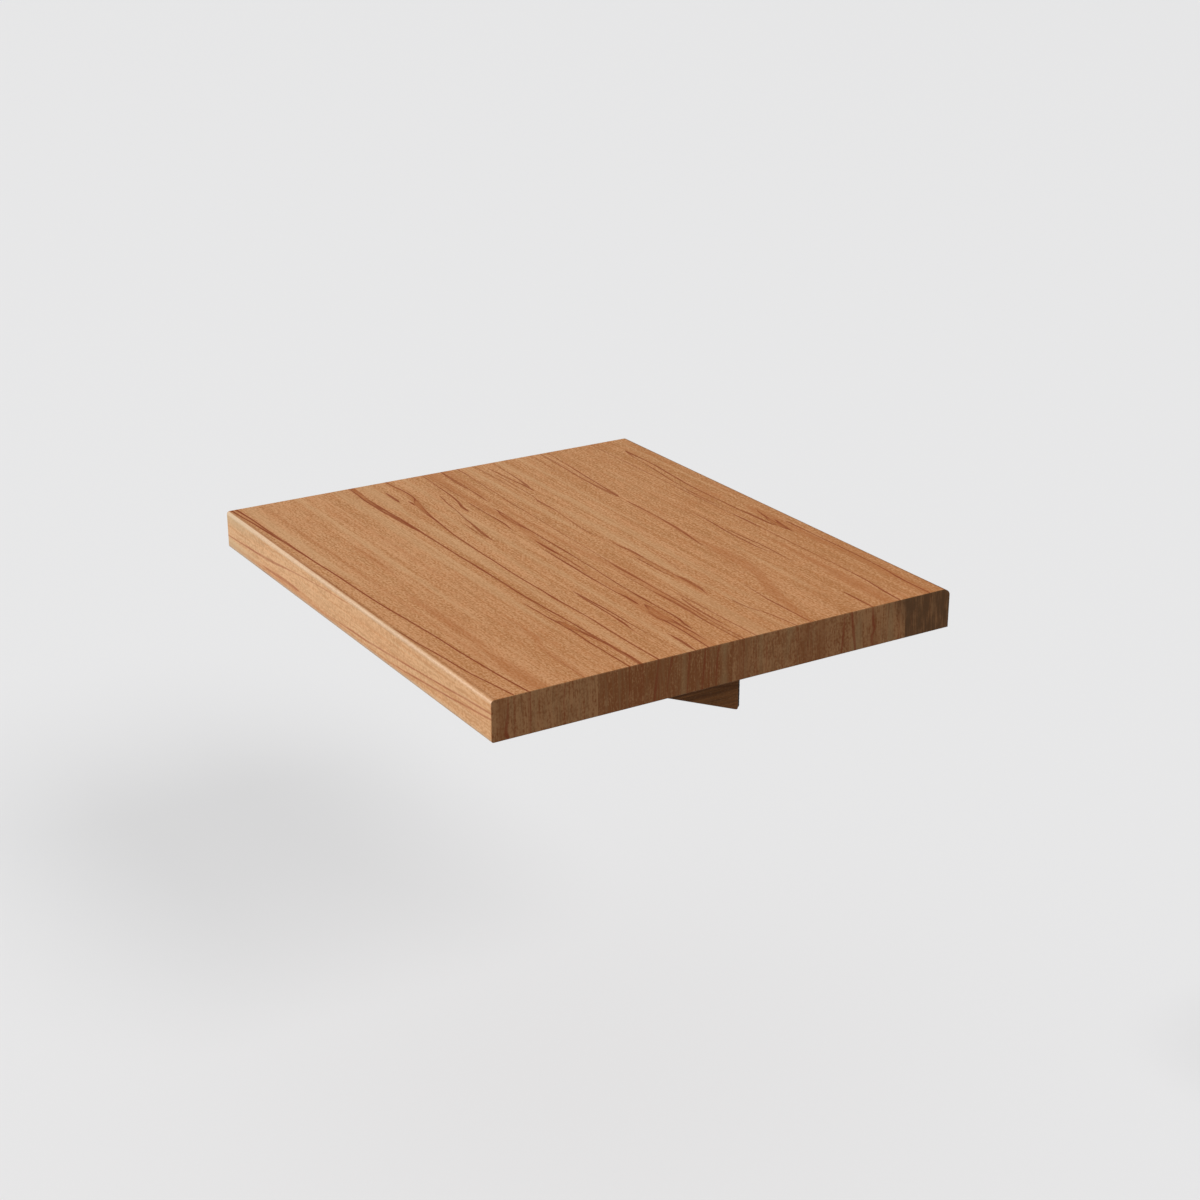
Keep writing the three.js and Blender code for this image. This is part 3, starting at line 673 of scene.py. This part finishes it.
def stave_beech(stave):
    """One stave, counted from the outer edge: growth lines, worn arris with painted highlight, end grain."""
    pale, ruddy, line_depth, end_ruddy = STAVE_TONES[stave]
    wood = Beech(f"beech_stave_{stave}", "XYZ", 5.3 * (stave - 1))
    edge = OuterEdge(wood) if stave == 1 else None
    above = HALF_THICK - abs(wood.through - HALF_THICK)
    streaks = wood.figure((22, 0.7, 2.0), 23, 2.0, 0.6).ramp(0.3, 0.68)

    wood.lay_long_grain(pale, ruddy, edge.light if edge else 0.0)
    straw = clouds(wood, wood.along, wood.bent, PALE_BANDS[stave])
    wood.stain(STRAW, straw * (wood.threads * 0.5 + 0.12))
    wood.stain(RUDDY, wood.along.ramp(-100, 230) * 0.15)
    line, wide = veins(wood, wood.along, wood.bent, VEINS[stave])
    if edge:
        edge.add_stretches(above, streaks)
        line, wide = edge.take_over(line, wide)

    # Growth lines are dark where thin and ruddy where wide, in a ruddy haze.
    haze = clouds(wood, wood.along, wood.bent, CLOUDS[stave]) * 0.55 + line * 0.25
    haze = haze * (streaks * 0.5 + wood.mottle * 0.5 + 0.3)
    wood.stain(RUDDY, haze | line * wide * (streaks * 0.5 + 0.4))
    wood.stain(VEIN, line * line_depth * (0.68 + streaks * 0.36) * (1 - wide * (0.97 - streaks * 0.25)))
    wood.rough = wood.rough + line * 0.06

    wear_and_light_arris(wood, above)
    add_end_grain(wood, stave, end_ruddy, line, streaks)
    return wood.finished()


def wear_and_light_arris(wood, above):
    """The outer arris is worn paler and has a painted highlight, with painted shade just behind it."""
    outside = wood.across - OUTER_FACE
    # Wear and painted highlight on the arris, less towards the near end; then a painted highlight on its
    # crest and painted shade just behind it.
    worn_and_lit = (1 - outside.ramp(1.4, 2.4)) * (1 - above.ramp(2.5, 3.3)) * (1 - wood.along.ramp(40, 200) * 0.5)
    crest = (1 - outside.ramp(1.3, 2.0)) * (1 - above.ramp(0.2, 1.0)) * (1 - wood.along.ramp(-150, 50))
    painted_arris_shade = outside.ramp(1.2, 2.0) * (1 - outside.ramp(2.6, 4.2)) * (1 - above.ramp(1, 2))
    wood.stain(WORN_AND_HIGHLIGHT, worn_and_lit * (wood.flecks * 0.5 + 0.25))
    wood.stain(ARRIS_HIGHLIGHT, crest * 0.55)
    wood.stain(ARRIS_SHADE, painted_arris_shade * 0.45)
    wood.drive("Coat Weight", worn_and_lit * 0.2)


def add_end_grain(wood, stave, ruddy, line, streaks):
    """Ring edges, rays and pores on both ends of a stave, with painted shade on staves 4 and 5."""
    sawn = (wood.along, wood.bent + wood.through * 0.05, wood.through)
    pores = wood.noise(sawn, (0.8, 0.5, 0.5), wood.seed + 29, 1.0).ramp(0.54, 0.74)
    specks = wood.noise(sawn, (1.2, 1.4, 1.9), wood.seed + 43, 1.0)
    rays = wood.noise(sawn, (30, 0.8, 14), wood.seed + 31, 2.0, 0.65)
    rings = wood.noise(sawn, (30, 3.2, 40), wood.seed + 37, 3.0, 0.6)
    patches = wood.noise(sawn, (20, 7, 9), wood.seed + 41, 2.0)

    def up_the_end(pattern, runs):
        runs = shifted(runs[stave], HALF_THICK)
        return pattern(wood, wood.through - HALF_THICK, wood.bent, runs, HALF_THICK)

    dark = up_the_end(clouds, END_CLOUDS)
    fair = up_the_end(clouds, END_PALES)
    ring, wide = up_the_end(veins, END_VEINS)
    depth = swing((rays, 2.8), (rings, 1.6), (patches, 1.3), (specks, 2.3)) + (ruddy + 0.1)
    colour = wood.mix(END_PALE, END_DARK, depth.clamped())
    colour = wood.mix(colour, END_DARK, dark * (patches * 0.5 + 0.25))
    colour = wood.mix(colour, END_STRAW, rings.ramp(0.48, 0.66) * 0.3 | fair * (rays + 0.05))
    ring = ring * (0.5 + streaks * 0.15 + wide * 0.35)
    colour = wood.mix(colour, VEIN, (line * 0.3 | ring) + pores * 0.2)

    # Painted shade darkens the ends of the stave at the bed's side, and its neighbour's past a slanting line.
    if stave in (4, 5):
        painted_end_shade = (swing((rings, 1.3), (rays, 1.1), (patches, 0.9)) + 0.88).clamped() * 0.97
        if stave == 4:
            painted_end_shade = painted_end_shade * (wood.across + wood.through * 0.9 + wood.wander * 8).ramp(-13, 10)
        colour = wood.mix(colour, END_PAINTED_SHADE, painted_end_shade)

    at_end = abs(wood.along).ramp(BOARD_END - 0.7, BOARD_END - 0.15)
    wood.stain(colour, at_end)
    wood.rough = wood.rough + at_end * 0.14
    wood.relief = wood.relief * (1 - at_end) + (rays * 0.5 - pores * 0.6) * at_end


def arm_beech(name):
    """The arm's wood, darkened all over by painted shade, with growth lines along its sides."""
    wood = Beech(name, "YZX", 41.0, specular=0.2)
    # Painted shade: the arm gets no pale share and is darkened all over, as if under the board; its growth
    # lines take the same tone.
    wood.lay_long_grain(0.0, 0.3)
    runs = shifted(ARM_VEINS, -ARM_MIDDLE)
    line, _ = veins(wood, wood.along + ARM_MIDDLE, wood.bent, runs, ARM_MIDDLE)
    dark = swing((wood.threads, 1.9), (wood.bands, 1.6), (wood.fibres, 1.0)) + 0.45
    wood.stain(ARM_GRAIN_AND_SHADE, (dark | line * 0.8).clamped())
    return wood.finished()


def dowel_beech(name):
    """Pale wood with no oil lines."""
    wood = Beech(name, "ZXY", 77.0)
    wood.lay_long_grain(0.9, 0.0)
    return wood.finished()


def zinc_steel(name):
    """Bright zinc plate on bent strip: drawn lines along the strip, and a faint spangle."""
    finish = Finish(name, Metallic=1.0)
    place = finish.place()
    lines = finish.noise(place, (0.35, 22, 22), 2.0, 3.0, 0.7)
    spangle = finish.noise(place, (7, 7, 7), 5.0, 2.0)
    finish.drive("Base Color", finish.mix(ZINC_GREY, ZINC_BRIGHT, lines * 0.5 + spangle * 0.5))
    finish.drive("Roughness", lines * 0.16 + spangle * 0.12 + 0.22)
    finish.bump(lines, 0.00002)
    return finish.material


def screw_steel(name):
    """Yellow passivated steel, which shifts between straw and rose."""
    finish = Finish(name, Metallic=1.0)
    place = finish.place()
    shift = finish.noise(place, (3.5, 3.5, 3.5), 1.0, 2.0)
    wear = finish.noise(place, (0.8, 0.8, 0.8), 4.0, 2.0)
    finish.drive("Base Color", finish.mix(SCREW_STRAW, SCREW_ROSE, shift.ramp(0.35, 0.65)))
    finish.drive("Roughness", wear * 0.2 + 0.2)
    finish.bump(wear, 0.00001)
    return finish.material


def wool_felt(name):
    """Dense dark felt of short matted fibres."""
    finish = Finish(name, Roughness=1.0, Sheen_Weight=0.25, Sheen_Roughness=0.6)
    place = finish.place()
    matting = finish.noise(place, (0.45, 0.45, 0.45), 0.0, 4.0, 0.75)
    patches = finish.noise(place, (5, 5, 5), 3.0, 2.0)
    share = (swing((matting, 2.2), (patches, 0.8)) + 0.5).clamped()
    finish.drive("Base Color", finish.mix(FELT_DARK, FELT_PALE, share))
    finish.bump(matting, 0.0003)
    return finish.material


def select_only(piece):
    bpy.ops.object.select_all(action="DESELECT")
    piece.select_set(True)
    bpy.context.view_layer.objects.active = piece


def edit(piece, action="SELECT"):
    select_only(piece)
    bpy.ops.object.mode_set(mode="EDIT")
    bpy.ops.mesh.select_all(action=action)


def leave_edit():
    bpy.ops.object.mode_set(mode="OBJECT")


def apply_modifier(piece, kind, **settings):
    select_only(piece)
    bpy.ops.object.modifier_add(type=kind)
    modifier = piece.modifiers[-1]
    for key, value in settings.items():
        setattr(modifier, key, value)
    bpy.ops.object.modifier_apply(modifier=modifier.name)


def smooth(piece, angle=40):
    """Smooth shading that leaves wide flat faces flat and edges past the angle crisp."""
    select_only(piece)
    bpy.ops.object.shade_smooth_by_angle(angle=math.radians(angle))
    apply_modifier(piece, "WEIGHTED_NORMAL", keep_sharp=True)


def dress(piece, material, node):
    """Gives a finished piece its material and its body, and hides the node that it stands for."""
    piece.data.materials.clear()
    piece.data.materials.append(material)
    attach(piece, "root")
    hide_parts(node)


def low_high(node):
    """The corners of a CAD node's box in mm."""
    low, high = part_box(node)
    return Vector(low) / MM, Vector(high) / MM


def foot_of(node):
    """The middle of the foot of a CAD node's box, in mm."""
    low, high = low_high(node)
    return Vector(((low.x + high.x) / 2, (low.y + high.y) / 2, low.z))


def joined_copy(node, name):
    """A copy of a CAD node with its loose triangles joined into whole faces."""
    piece = bpy.data.objects.new(name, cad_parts[node].data.copy())
    bpy.context.scene.collection.objects.link(piece)
    edit(piece)
    bpy.ops.mesh.remove_doubles(threshold=0.002 * MM)
    bpy.ops.mesh.dissolve_limited(angle_limit=math.radians(0.5))
    leave_edit()
    return piece


def twin(piece, name, spot, turn=0.0):
    """Another piece of the same shape, turned by that many degrees and moved to a spot in mm."""
    other = piece.copy()
    other.data = piece.data.copy()
    other.name = name
    other.location = Vector(spot) * MM
    other.rotation_euler.z = math.radians(turn)
    bpy.context.scene.collection.objects.link(other)
    set_in_place(other)
    return other


def set_in_place(piece):
    """Puts a piece's place and turn into its mesh."""
    select_only(piece)
    bpy.ops.object.transform_apply(location=True, rotation=True, scale=True)


def path(name, points):
    """A line through the given points in mm, drawn out corner by corner and left in edit mode."""
    spots = [Vector(point) * MM for point in points]
    bpy.ops.object.select_all(action="DESELECT")
    bpy.ops.mesh.primitive_plane_add(size=MM, location=spots[0])
    piece = bpy.context.object
    piece.name = name
    set_in_place(piece)
    edit(piece)
    bpy.ops.mesh.merge(type="CENTER")
    for here, there in zip(spots, spots[1:]):
        bpy.ops.mesh.extrude_vertices_move(TRANSFORM_OT_translate={"value": there - here})
    bpy.ops.mesh.select_all(action="SELECT")
    return piece


def turned(name, profile, sides, **settings):
    """A solid turned on the upright axis. profile runs through (radius, height) in mm."""
    piece = path(name, [(radius, 0, height) for radius, height in profile])
    leave_edit()
    closing = {"use_merge_vertices": True, "merge_threshold": 1e-6}
    apply_modifier(piece, "SCREW", axis="Z", steps=sides, render_steps=sides, **closing, **settings)
    edit(piece)
    bpy.ops.mesh.normals_make_consistent(inside=False)
    leave_edit()
    return piece


def block(name, low, high):
    """A block from corner to corner, in mm."""
    bpy.ops.object.select_all(action="DESELECT")
    bpy.ops.mesh.primitive_cube_add(size=1, location=(low + high) / 2 * MM)
    piece = bpy.context.object
    piece.name = name
    piece.scale = (high - low) * MM
    set_in_place(piece)
    return piece


def pick_edges(piece, *boxes):
    """Goes into edit mode with the edges chosen that lie wholly inside any of the boxes, given in mm."""
    edit(piece, "DESELECT")
    bpy.ops.mesh.select_mode(type="EDGE")
    leave_edit()
    spots = [vertex.co / MM for vertex in piece.data.vertices]
    for edge in piece.data.edges:
        ends = [spots[i] for i in edge.vertices]
        edge.select = any(all(is_within(end, *box) for end in ends) for box in boxes)
    bpy.ops.object.mode_set(mode="EDIT")


def pick_vertices(piece, test):
    """Goes into edit mode with the vertices chosen whose place in mm passes the test."""
    edit(piece, "DESELECT")
    bpy.ops.mesh.select_mode(type="VERT")
    leave_edit()
    for vertex in piece.data.vertices:
        vertex.select = test(vertex.co / MM)
    bpy.ops.object.mode_set(mode="EDIT")


def is_within(spot, low, high, room=0.05):
    return all(a - room <= value <= b + room for a, value, b in zip(low, spot, high))


def narrow(piece, size, test):
    """Draws the vertices that pass the test in towards the upright axis, to that share of their distance."""
    pick_vertices(piece, test)
    bpy.ops.transform.resize(value=(size, size, 1), center_override=(0, 0, 0))
    leave_edit()


def round_edges(piece, radius, segments, *boxes):
    pick_edges(piece, *boxes)
    bpy.ops.mesh.bevel(offset=radius * MM, segments=segments, affect="EDGES", clamp_overlap=False)
    leave_edit()


def ease(piece, width, segments):
    """Rounds off every sharp edge by a width in mm."""
    limit = {"limit_method": "ANGLE", "angle_limit": math.radians(50)}
    apply_modifier(piece, "BEVEL", width=width * MM, segments=segments, **limit)


def combine(piece, tool, operation):
    """Cuts the tool out of a piece or joins it on, and uses it up."""
    apply_modifier(piece, "BOOLEAN", operation=operation, solver="EXACT", object=tool)
    bpy.data.objects.remove(tool)


def make_board():
    for stave in range(1, 6):
        piece = joined_copy(f"board_stave_{stave}", f"stave_{stave}")
        smooth(piece)
        dress(piece, stave_beech(stave), f"board_stave_{stave}")


def make_arm():
    piece = joined_copy("bracket_arm", "arm")
    smooth(piece)
    dress(piece, arm_beech("beech_arm"), "bracket_arm")


def make_dowels():
    """Dowels with eased ends and straight flutes."""
    low, high = low_high("arm_dowel_1")
    radius = (high.x - low.x) / 2
    length = high.z - low.z
    end = [(0, 0), (radius - 1, 0), (radius - 0.2, 0.9), (radius, 1.3)]
    profile = end + [(across, length - up) for across, up in reversed(end)]
    dowel = turned("dowel", profile, DOWEL_SIDES)

    def in_flute(spot):
        column = round(math.degrees(math.atan2(spot.y, spot.x)) * DOWEL_SIDES / 360)
        return 0.5 < spot.z < length - 0.5 and column % (DOWEL_SIDES // DOWEL_FLUTES) == 0

    narrow(dowel, 0.93, in_flute)
    smooth(dowel, 25)
    material = dowel_beech("beech_dowel")
    for i in (1, 2, 3):
        piece = twin(dowel, f"dowel_{i}", foot_of(f"arm_dowel_{i}"))
        dress(piece, material, f"arm_dowel_{i}")
    bpy.data.objects.remove(dowel)


def wood_screw(name, diameter, head, length, plain, pitch):
    """A countersunk wood screw, head down at the origin, with a cross recess."""
    core = diameter * 0.33
    neck = diameter * 0.4
    cone = SCREW_LAND + head / 2 - neck
    taper = length - 2 * diameter
    profile = [(0, 0), (head / 2 - 0.25, 0), (head / 2, 0.2), (head / 2, SCREW_LAND), (neck, cone),
               (neck, plain), (core, plain + 0.8), (core, taper), (core * 0.5, length - 0.6 * diameter),
               (0, length)]
    piece = turned(name, profile, 40)
    combine(piece, cross_recess(head, diameter), "DIFFERENCE")

    turns = int((length - plain) / pitch)
    crest = [(core, 0), (core, 0.30 * pitch), (diameter / 2, 0.46 * pitch), (diameter / 2, 0.54 * pitch),
             (core, 0.70 * pitch), (core, pitch)]
    thread = turned(name + "_thread", crest, 20, screw_offset=pitch * MM, iterations=turns)
    thread.location.z = (length - turns * pitch - pitch * 0.8) * MM
    set_in_place(thread)
    taper_thread(thread, taper, length)
    select_only(piece)
    thread.select_set(True)
    bpy.ops.object.join()
    smooth(piece, 32)
    return piece


def taper_thread(thread, start, end, steps=16):
    """Narrows a thread step by step from start up to the screw's point, and trims what stands past it."""
    rise = (end - start) / steps
    for i in range(steps):
        bottom = start + rise * i
        top = bottom + rise if i < steps - 1 else math.inf
        narrow(thread, 1 - 0.93 * (i + 0.5) / steps, lambda spot: bottom <= spot.z < top)
    pick_vertices(thread, lambda spot: spot.z > end - 0.05)
    bpy.ops.mesh.delete(type="VERT")
    leave_edit()


def cross_recess(head, diameter):
    """The four wings of the driver recess, narrower and shorter towards their floor."""
    middle = Vector((0, 0, head * 0.02))
    reach = Vector((head * 0.28, diameter * 0.1, head * 0.25))
    wing = block("wing", middle - reach, middle + reach)
    narrow(wing, 0.5, lambda spot: spot.z > 0)
    combine(wing, twin(wing, "wing_across", (0, 0, 0), 90), "UNION")
    return wing


def make_screws():
    material = screw_steel("screw_steel")
    plate_screws = [f"hook_screw_{side}_{i}" for side in ("far", "near") for i in (1, 2, 3)]
    for nodes, sizes in ((["arm_screw_1", "arm_screw_2"], LONG_SCREW), (plate_screws, PLATE_SCREW)):
        screw = wood_screw("screw", **sizes)
        for i, node in enumerate(nodes):
            name = node.replace("hook_screw", "plate_screw").replace("arm_screw", "long_screw")
            piece = twin(screw, name, foot_of(node), 23 + 49 * i)
            dress(piece, material, node)
        bpy.data.objects.remove(screw)


def bent_strip(name, low, high):
    """A strip of steel bent square to fill a box in mm, with its free corners rounded."""
    tip, back, foot, top = low.y, high.y, low.z, high.z
    front, under = back - PLATE_THICK, top - PLATE_THICK
    side = [(tip, under), (front, under), (front, foot), (back, foot), (back, top), (tip, top)]
    strip = path(name, [(low.x, y, z) for y, z in side])
    bpy.ops.mesh.edge_face_add()
    bpy.ops.mesh.extrude_region_move(TRANSFORM_OT_translate={"value": ((high.x - low.x) * MM, 0, 0)})
    bpy.ops.mesh.select_all(action="SELECT")
    bpy.ops.mesh.normals_make_consistent(inside=False)
    leave_edit()
    for x in (low.x, high.x):
        corners = ((x, tip, under), (x, tip, top)), ((x, front, foot), (x, back, foot))
        round_edges(strip, PLATE_CORNER, 12, *corners)
    round_edges(strip, PLATE_BEND, 10, ((low.x, front, under), (high.x, front, under)))
    round_edges(strip, PLATE_BEND + PLATE_THICK, 14, ((low.x, back, top), (high.x, back, top)))
    return strip


def screw_hole(spot):
    """The cutter for a countersunk hole under a plate screw whose head is at the spot."""
    wide = PLATE_SCREW["head"] / 2 + HOLE_ROOM
    slim = PLATE_SCREW["diameter"] / 2 + HOLE_ROOM
    cone = SCREW_LAND + wide - slim
    hole = turned("hole", [(0, -3), (wide, -3), (wide, SCREW_LAND), (slim, cone), (slim, 8), (0, 8)], 48)
    hole.location = spot * MM
    set_in_place(hole)
    return hole


def make_hook_plates():
    """Two bent plates, modelled once in the middle."""
    low, high = low_high("hook_plate_far")
    shift = Vector(((low.x + high.x) / 2, 0, 0))
    plate = bent_strip("plate", low - shift, high - shift)
    for i in (1, 2, 3):
        combine(plate, screw_hole(foot_of(f"hook_screw_far_{i}") - shift), "DIFFERENCE")
    ease(plate, PLATE_EASE, 2)
    smooth(plate, 40)
    material = zinc_steel("zinc_steel")
    for side in ("far", "near"):
        node = f"hook_plate_{side}"
        piece = twin(plate, f"plate_{side}", (foot_of(node).x, 0, 0))
        dress(piece, material, node)
    bpy.data.objects.remove(plate)


def make_pads():
    """Felt pads: cut from sheet, with rounded corners, soft rims and a slightly uneven nap."""
    material = wool_felt("wool_felt")
    nap = bpy.data.textures.new("nap", "CLOUDS")
    nap.noise_scale = NAP_SIZE * MM
    nap.noise_depth = 3
    for node in ("arm_foot_pad", "hook_pad_far", "hook_pad_near"):
        low, high = low_high(node)
        pad = block(node.replace("hook", "plate").replace("arm_", ""), low, high)
        rims = [((x, low.y, z), (x, high.y, z)) for x in (low.x, high.x) for z in (low.z, high.z)]
        round_edges(pad, PAD_CORNER, 6, *rims)
        ease(pad, PAD_RIM, 3)
        apply_modifier(pad, "REMESH", mode="VOXEL", voxel_size=PAD_GRID * MM)
        apply_modifier(pad, "DISPLACE", texture=nap, strength=NAP_DEPTH * MM, mid_level=0.95)
        select_only(pad)
        bpy.ops.object.shade_smooth()
        dress(pad, material, node)


make_board()
make_arm()
make_dowels()
make_screws()
make_hook_plates()
make_pads()


def make_floor():
    """A pale floor under the shelf, see-through from below."""
    bpy.ops.object.select_all(action="DESELECT")
    bpy.ops.mesh.primitive_plane_add(size=FLOOR_SIZE, location=(0, 0, -FLOOR_DROP))
    floor = bpy.context.object
    floor.name = "floor"
    set_in_place(floor)
    finish = Finish("floor", Roughness=0.9, Specular_IOR_Level=0.1)
    ray = finish.add("LightPath", output="Is Camera Ray")
    seen = ray | ray.other("Is Glossy Ray") * 0.45
    finish.drive("Base Color", finish.mix(FLOOR_SHADE, FLOOR_PALE, seen))
    below = finish.add("NewGeometry", output="Backfacing")
    clear = finish.add("BsdfTransparent")
    solid = Value(finish, finish.shader.outputs[0])
    surface = finish.add("MixShader", sockets={0: below, 1: solid, 2: clear})
    finish.link(surface, finish.tree.nodes["Material Output"].inputs["Surface"])
    floor.data.materials.append(finish.material)


def make_sky():
    """An even sky, with levels of its own where it is seen and where it shows in a sheen."""
    world = bpy.data.worlds.new("sky")
    world.use_nodes = True
    bpy.context.scene.world = world
    nodes = Nodes(world.node_tree)
    seen = nodes.add("LightPath", output="Is Camera Ray")
    sheen = {"Value": seen.other("Is Glossy Ray"), "To Min": SKY_LEVEL, "To Max": SKY_SHEEN}
    level = nodes.add("MapRange", sockets=sheen)
    level = nodes.add("MapRange", sockets={"Value": seen, "To Min": level, "To Max": SKY_SEEN})
    background = world.node_tree.nodes["Background"]
    nodes.link(level, background.inputs["Strength"])
    background.inputs["Color"].default_value = rgba(1.0, 1.0, 1.0)


def add_lamp(name, way, power, spread):
    """A far lamp whose light travels along way."""
    data = bpy.data.lights.new(name, "SUN")
    data.energy = power
    data.angle = spread
    lamp = bpy.data.objects.new(name, data)
    lamp.rotation_euler = way.to_track_quat("-Z", "Y").to_euler()
    bpy.context.scene.collection.objects.link(lamp)


make_floor()
make_sky()
add_lamp("key", KEY_WAY, KEY_POWER, KEY_SPREAD)
add_lamp("fill", FILL_WAY, FILL_POWER, FILL_SPREAD)
bpy.context.scene.view_settings.view_transform = "Standard"
